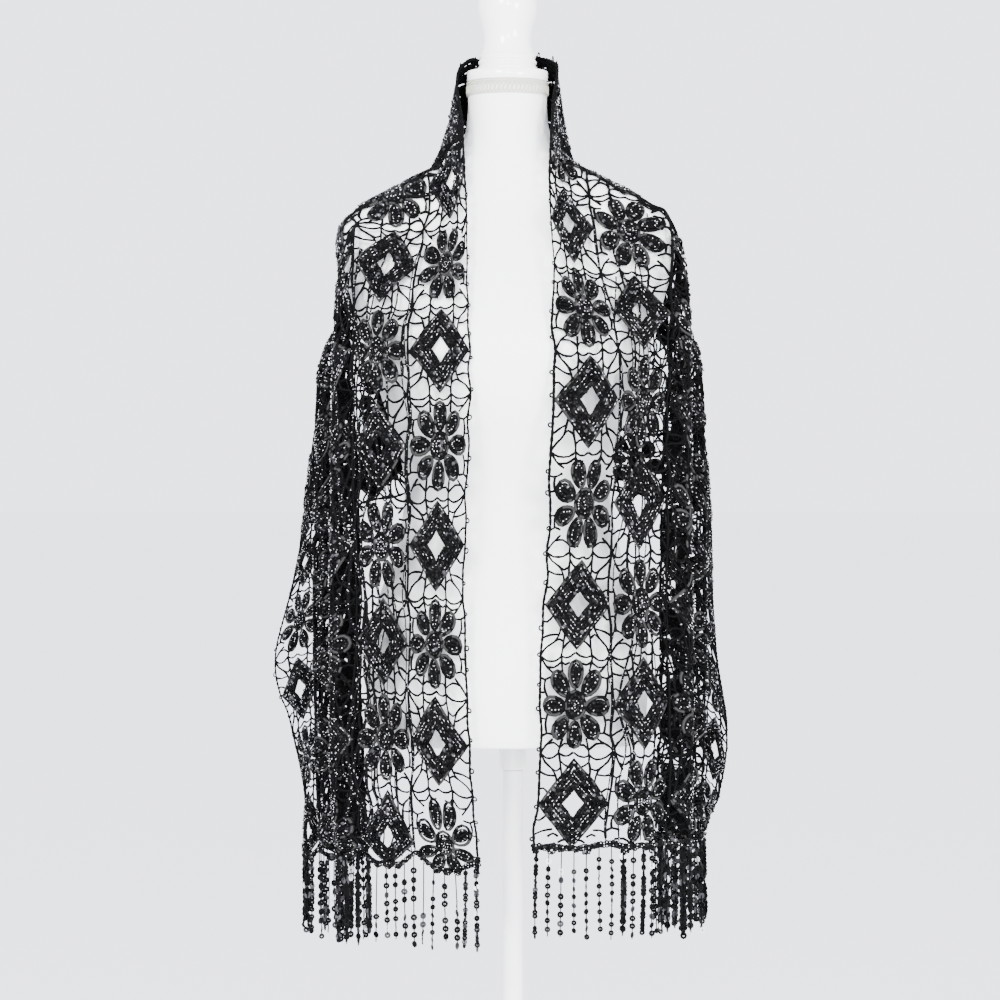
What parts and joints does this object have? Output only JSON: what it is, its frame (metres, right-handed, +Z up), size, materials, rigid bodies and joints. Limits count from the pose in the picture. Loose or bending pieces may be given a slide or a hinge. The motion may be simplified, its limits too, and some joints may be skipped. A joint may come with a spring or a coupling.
{
  "type": "beaded lace shawl on a limbless dress form",
  "caption": "Black beaded lace shawl with flower and lozenge motifs and sequin fringe, worn open on a white limbless dress form on a round-based stand.",
  "frame": {"origin": "centre of the stand's round base, on the floor", "axes": "+Z up the pole, -Y is the open front of the shawl, +X the viewer's right"},
  "size_m": [0.5026, 0.32, 1.596],
  "materials": {
    "lace": "black yarn net with a slight sheen",
    "sequins": "glossy black sequins and beads with grey glints",
    "cover": "white stretched jersey cover, matt",
    "turned_wood": "white gloss paint",
    "stand_metal": "white satin paint"
  },
  "bodies": {
    "root": {"shawl_left_front": "lace", "shawl_back": "lace", "shawl_right_front": "lace", "fringe_left": "sequins", "fringe_right": "sequins", "form_body": "cover", "neck_plate": "turned_wood", "finial": "turned_wood", "pole_socket": "turned_wood", "pole": "stand_metal", "base": "stand_metal"}
  },
  "joints": []
}
